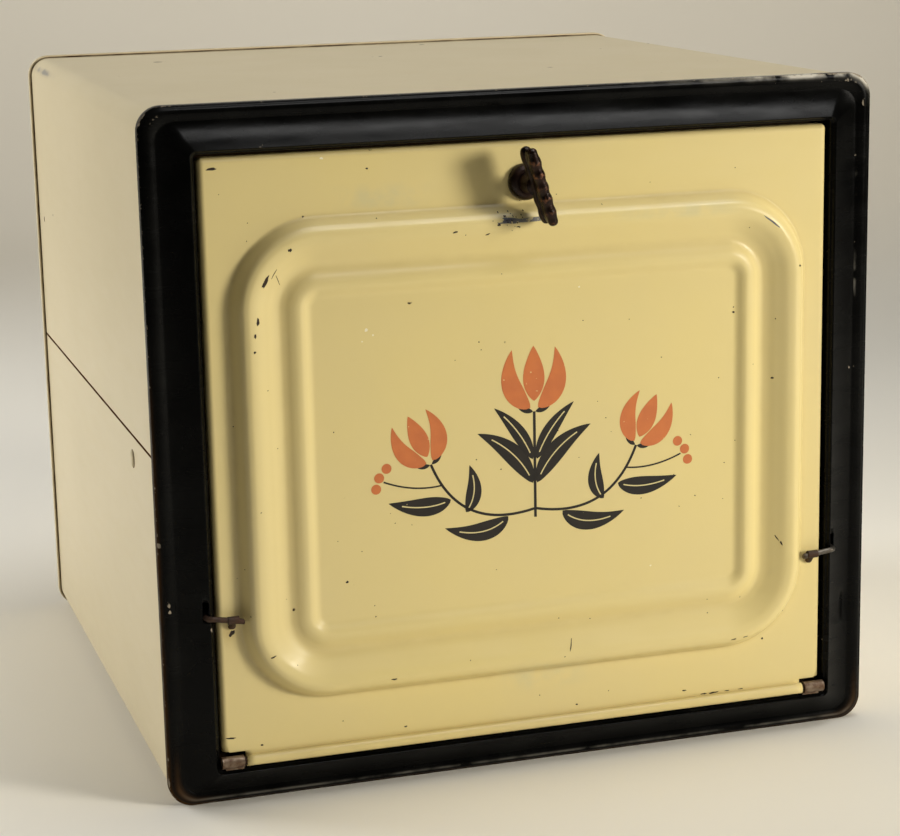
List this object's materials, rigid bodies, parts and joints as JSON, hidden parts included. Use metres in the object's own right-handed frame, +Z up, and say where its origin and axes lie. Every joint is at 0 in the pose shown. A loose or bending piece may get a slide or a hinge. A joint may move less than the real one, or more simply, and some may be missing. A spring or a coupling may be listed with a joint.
{
  "type": "bread box",
  "caption": "Sheet-metal bread box with a coved front frame, an embossed drop-front door on a curled hinge, wire stays and a turning knob latch.",
  "frame": {"origin": "on the standing plane, under the middle of the whole box with its knob", "axes": "+X to the right seen from the front, +Y from the door to the back, +Z up"},
  "size_m": [0.34, 0.3592, 0.3116],
  "materials": {
    "black_enamel": "gloss black enamel, worn at the edges",
    "cream_enamel": "pale cream enamel, lightly soiled",
    "door_enamel": "cream-yellow enamel, chipped and scratched",
    "tinned_sheet": "dull tinned sheet",
    "rusty_steel": "bare steel with brown rust",
    "brown_knob_metal": "dark brown tarnished casting",
    "plain_steel": "plain steel, dulled"
  },
  "bodies": {
    "cabinet": {"front_frame": "black_enamel", "body_upper_wrap": "cream_enamel", "body_lower_wrap": "cream_enamel", "back_panel": "cream_enamel", "shelf": "tinned_sheet", "shelf_ledge": "tinned_sheet", "shelf_rivets": "cream_enamel", "hinge_strap_left": "rusty_steel", "hinge_strap_right": "rusty_steel", "hinge_strap_rivets": "rusty_steel"},
    "door": {"door_panel": "door_enamel", "hinge_wire": "rusty_steel", "stay_eye_left": "rusty_steel", "stay_eye_right": "rusty_steel", "knob_rosette": "brown_knob_metal"},
    "knob": {"knob_handle": "brown_knob_metal", "knob_spindle": "plain_steel", "latch_washer": "plain_steel", "latch_spacer": "plain_steel", "latch_tongue": "plain_steel", "latch_nut": "plain_steel"},
    "stay_left": {"stay_rod_left": "rusty_steel"},
    "stay_right": {"stay_rod_right": "rusty_steel"}
  },
  "joints": [
    {"name": "door_hinge", "type": "hinge", "parent": "cabinet", "child": "door", "pos_m": [0, -0.15582, 0.0204], "axis": [1, 0, 0], "range_deg": [0, 85]},
    {"name": "knob_turn", "type": "hinge", "parent": "door", "child": "knob", "pos_m": [0, -0.16, 0.2713], "axis": [0, -1, 0], "range_deg": [0, 73]},
    {"name": "stay_left_pivot", "type": "hinge", "parent": "door", "child": "stay_left", "pos_m": [-0.1395, -0.15843, 0.0883], "axis": [1, 0, 0], "range_deg": [-42.5, 0]},
    {"name": "stay_right_pivot", "type": "hinge", "parent": "door", "child": "stay_right", "pos_m": [0.1395, -0.15843, 0.0883], "axis": [1, 0, 0], "range_deg": [-42.5, 0]}
  ],
  "couplings": [
    {"joint": "stay_left_pivot", "follows": "door_hinge", "ratio": -0.5},
    {"joint": "stay_right_pivot", "follows": "door_hinge", "ratio": -0.5}
  ]
}
